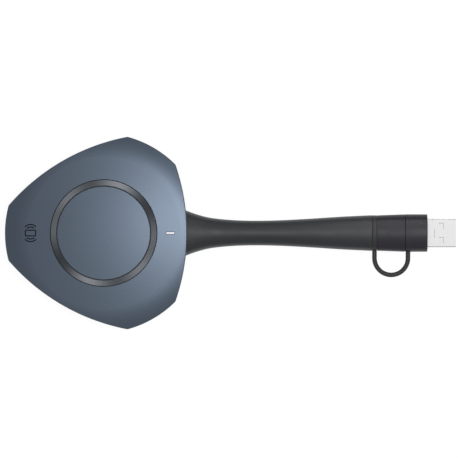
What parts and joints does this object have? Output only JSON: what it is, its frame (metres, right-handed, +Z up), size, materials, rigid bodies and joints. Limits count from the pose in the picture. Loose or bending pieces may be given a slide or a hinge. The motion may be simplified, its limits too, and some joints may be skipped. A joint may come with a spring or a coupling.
{
  "type": "wireless display dongle",
  "caption": "Rounded three-sided push-button puck with a metal ring and status light, a flexible tail and a plug end with a tethered pull-off adapter.",
  "frame": {"origin": "on the push button's axis, on the plane that the rubber pad rests on", "axes": "+X along the tail towards the plug, +Z up out of the button, +Y to the left of someone looking along the tail"},
  "size_m": [0.1897, 0.0808, 0.014],
  "materials": {
    "cover_lacquer": "satin metallic blue-grey lacquer on moulded ABS",
    "tray_plastic": "fine-textured black ABS",
    "pad_rubber": "matt silicone rubber",
    "ring_metal": "spun gunmetal-plated metal",
    "component_black": "moulded epoxy or nylon",
    "plunger_plastic": "natural moulded plastic",
    "board_green": "solder mask on glass-epoxy laminate",
    "tin_plate": "tin-plated sheet",
    "thermal_silicone": "soft filled silicone",
    "ferrite_sheet": "flexible ferrite sheet",
    "copper_winding": "enamelled copper wire",
    "lamp_white": "small lamp in clear resin",
    "clear_acrylic": "frosted clear acrylic",
    "zinc_steel": "zinc-plated steel",
    "cable_jacket": "soft PVC jacket",
    "connector_white": "moulded white nylon",
    "wire_insulation": "coloured PVC insulation",
    "sleeve_rubber": "satin black elastomer",
    "grip_plastic": "satin black ABS",
    "tether_rubber": "satin black elastomer",
    "nickel_steel": "nickel-plated steel sheet",
    "gold_contacts": "gold-plated contacts"
  },
  "bodies": {
    "puck": {"top_shell": "cover_lacquer", "bottom_shell": "tray_plastic", "anti_slip_pad": "pad_rubber", "ring_bezel": "ring_metal", "switch_body": "component_black", "main_board": "board_green", "video_processor": "component_black", "memory_chips": "component_black", "radio_chip": "component_black", "processor_shield": "tin_plate", "thermal_pad": "thermal_silicone", "radio_shield": "tin_plate", "antenna_left": "tin_plate", "antenna_right": "tin_plate", "coil_ferrite": "ferrite_sheet", "pairing_coil": "copper_winding", "status_lamp": "lamp_white", "light_pipe": "clear_acrylic", "closing_screws": "zinc_steel", "board_screws": "zinc_steel", "usb_cable": "cable_jacket", "board_socket": "connector_white", "wire_plug": "connector_white", "puck_wires": "wire_insulation", "tail_sleeve": "sleeve_rubber"},
    "button": {"button_cap": "cover_lacquer"},
    "plunger": {"switch_plunger": "plunger_plastic"},
    "plug_end": {"grip_wires": "wire_insulation", "plug_grip": "grip_plastic", "plug_shell": "nickel_steel", "plug_insert": "component_black", "plug_contacts": "gold_contacts", "plug_card": "board_green", "tether_strap": "tether_rubber"},
    "adapter": {"adapter_housing": "grip_plastic", "socket_shell": "nickel_steel", "socket_tongue": "component_black", "usb_shell": "nickel_steel", "usb_insert": "connector_white", "usb_contacts": "gold_contacts", "adapter_board": "board_green"}
  },
  "joints": [
    {"name": "button_press", "type": "slide", "parent": "puck", "child": "button", "axis": [0, 0, -1], "range_m": [0, 0.0005], "stiffness_N_per_m": 3000},
    {"name": "switch_press", "type": "slide", "parent": "puck", "child": "plunger", "axis": [0, 0, -1], "range_m": [0, 0.0005]},
    {"name": "tail_flex", "type": "hinge", "parent": "puck", "child": "plug_end", "pos_m": [0.0665, 0, 0.0066], "axis": [0, 1, 0], "range_deg": [-30, 30], "stiffness_Nm_per_rad": 0.25, "deforming": ["tail_sleeve", "usb_cable"]},
    {"name": "adapter_pull", "type": "slide", "parent": "plug_end", "child": "adapter", "axis": [1, 0, 0], "range_m": [0, 0.008], "deforming": ["tether_strap"]}
  ],
  "couplings": [
    {"joint": "switch_press", "follows": "button_press", "ratio": 1}
  ]
}
